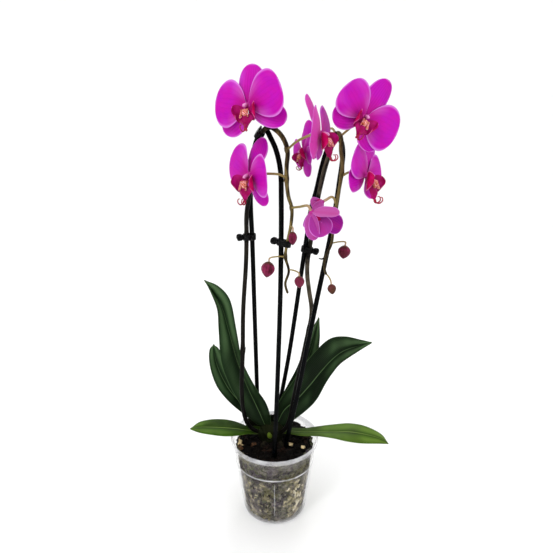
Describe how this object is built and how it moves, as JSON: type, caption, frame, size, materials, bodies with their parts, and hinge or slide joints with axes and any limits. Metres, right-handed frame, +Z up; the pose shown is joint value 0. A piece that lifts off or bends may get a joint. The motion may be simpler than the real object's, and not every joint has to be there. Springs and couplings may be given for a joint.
{
  "type": "potted orchid",
  "caption": "Moth orchid in a clear nursery pot of bark mix, with strap leaves and arching flower spikes of open blooms and buds, clipped to bent wire hoops.",
  "frame": {"origin": "centre of the pot's flat base, on the ground", "axes": "+Z up; -Y towards the viewer of the picture, the side the blooms face; +X to that viewer's right"},
  "size_m": [0.2724, 0.1511, 0.5848],
  "materials": {
    "pot": "thin clear moulded plastic, slightly hazed by moisture",
    "bark": "damp dark bark chips, rough",
    "crown": "leaf bases and aerial roots, satin",
    "leaf": "waxy dark green leaf, satin",
    "young_leaf": "waxy lighter green leaf, satin",
    "stem": "olive-brown flower stem, satin",
    "wire": "black coated wire, glossy",
    "clip": "black sprung clip, glossy",
    "petal": "magenta-purple petals with pale edges, soft satin",
    "lip": "deep crimson lip, satin",
    "bud": "dusky magenta-red bud, satin"
  },
  "bodies": {
    "root": {"pot": "pot", "bark_mix": "bark", "crown": "crown", "leaf_1": "leaf", "leaf_2": "leaf", "leaf_3": "leaf", "leaf_4": "leaf", "leaf_5": "young_leaf", "leaf_6": "young_leaf", "hoop_left": "wire", "hoop_right": "wire", "spike_left": "stem", "spike_right": "stem", "clip_1": "clip", "clip_2": "clip", "clip_3": "clip", "clip_4": "clip", "bloom_1": "petal", "lip_1": "lip", "bloom_2": "petal", "lip_2": "lip", "bloom_3": "petal", "lip_3": "lip", "bloom_4": "petal", "lip_4": "lip", "bloom_5": "petal", "lip_5": "lip", "bloom_6": "petal", "lip_6": "lip", "bloom_7": "petal", "lip_7": "lip", "bloom_8": "petal", "lip_8": "lip", "bud_1": "bud", "bud_2": "bud", "bud_3": "bud", "bud_4": "bud", "bud_5": "bud"}
  },
  "joints": []
}
